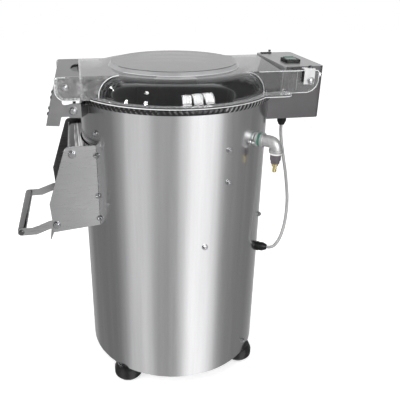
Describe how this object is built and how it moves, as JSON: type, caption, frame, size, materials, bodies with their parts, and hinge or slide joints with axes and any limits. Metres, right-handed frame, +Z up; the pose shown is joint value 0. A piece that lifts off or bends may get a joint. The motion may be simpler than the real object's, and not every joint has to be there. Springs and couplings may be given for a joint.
{
  "type": "electric potato peeler",
  "caption": "Upright stainless peeling drum with a clear hinged lid, a side discharge chute with a latched door, a water inlet and a switch box.",
  "frame": {"origin": "centre of the bounding box on the floor plane under the feet", "axes": "+X from the discharge chute to the control box, +Y to the back of the machine, +Z up along the drum"},
  "size_m": [0.6472, 0.457, 0.709],
  "materials": {
    "stainless": "brushed stainless sheet",
    "casting": "grey enamel on casting",
    "machined": "turned steel",
    "aluminium": "plain aluminium",
    "clear_lid": "clear polycarbonate",
    "rubber": "black rubber",
    "black_plastic": "black moulded plastic",
    "abrasive": "carborundum grit coating",
    "green_rocker": "dark green translucent cap",
    "green_seal": "green fibre washer",
    "grey_pvc": "grey PVC",
    "galvanised": "galvanised pipe fitting",
    "brass": "turned brass"
  },
  "bodies": {
    "frame": {"foot_front_left": "rubber", "foot_front_right": "rubber", "foot_rear_left": "rubber", "foot_rear_right": "rubber", "base_ring": "stainless", "chute_frame": "stainless", "door_pivot_front": "machined", "door_pivot_rear": "machined", "latch_pivot_front": "machined", "latch_pivot_rear": "machined", "drum_body": "stainless", "abrasive_liner": "abrasive", "chamber_floor": "stainless", "rim_seal": "rubber", "hinge_tab_front": "stainless", "lid_bumper_front": "rubber", "lid_pivot_front": "machined", "hinge_tab_rear": "stainless", "lid_bumper_rear": "rubber", "lid_pivot_rear": "machined", "control_box": "stainless", "box_bottom_plate": "stainless", "switch_frame": "black_plastic", "contactor": "black_plastic", "interlock_sensor": "black_plastic", "lid_rest_strip": "rubber", "box_gland": "black_plastic", "mains_gland": "black_plastic", "drum_gland": "black_plastic", "motor_lead": "grey_pvc", "inlet_nipple": "galvanised", "inlet_washer": "green_seal", "inlet_elbow": "galvanised", "inlet_reducer": "grey_pvc", "hose_tail": "brass", "drain_elbow": "stainless", "bearing_housing": "casting", "lower_bearing": "machined", "upper_bearing": "machined", "shaft_seal": "rubber", "drive_frame": "stainless", "motor_body": "casting", "run_capacitor": "aluminium", "drive_belt": "rubber"},
    "lid": {"lid_cover": "clear_lid", "lid_bracket": "stainless", "interlock_angle": "aluminium", "interlock_magnet": "black_plastic", "interlock_case": "clear_lid"},
    "discharge_door": {"chute_door": "stainless"},
    "latch_bail": {"latch_arm_front": "stainless", "latch_arm_rear": "stainless", "latch_grip": "stainless"},
    "turntable": {"main_shaft": "machined", "abrasive_disc": "abrasive", "disc_cap": "machined", "driven_pulley": "casting"},
    "motor_rotor": {"motor_shaft": "machined", "motor_pulley": "casting"},
    "rocker": {"switch_rocker": "green_rocker"}
  },
  "joints": [
    {"name": "lid_hinge", "type": "hinge", "parent": "frame", "child": "lid", "pos_m": [-0.1914, -0.027, 0.636], "axis": [0, -1, 0], "range_deg": [0, 80]},
    {"name": "door_hinge", "type": "hinge", "parent": "frame", "child": "discharge_door", "pos_m": [-0.2004, -0.0055, 0.546], "axis": [0, 1, 0], "range_deg": [0, 75]},
    {"name": "latch_hinge", "type": "hinge", "parent": "frame", "child": "latch_bail", "pos_m": [-0.2424, -0.0055, 0.393], "axis": [0, 1, 0], "range_deg": [0, 25]},
    {"name": "disc_spin", "type": "hinge", "parent": "frame", "child": "turntable", "pos_m": [0.0206, -0.0175, 0.38], "axis": [0, 0, 1], "continuous": true},
    {"name": "motor_spin", "type": "hinge", "parent": "frame", "child": "motor_rotor", "pos_m": [0.1426, -0.0175, 0.152], "axis": [0, 0, 1], "continuous": true},
    {"name": "switch_rock", "type": "hinge", "parent": "frame", "child": "rocker", "pos_m": [0.2736, -0.0275, 0.703], "axis": [-1, 0, 0], "range_deg": [0, 12]}
  ],
  "couplings": [
    {"joint": "motor_spin", "follows": "disc_spin", "ratio": 3.1154}
  ]
}
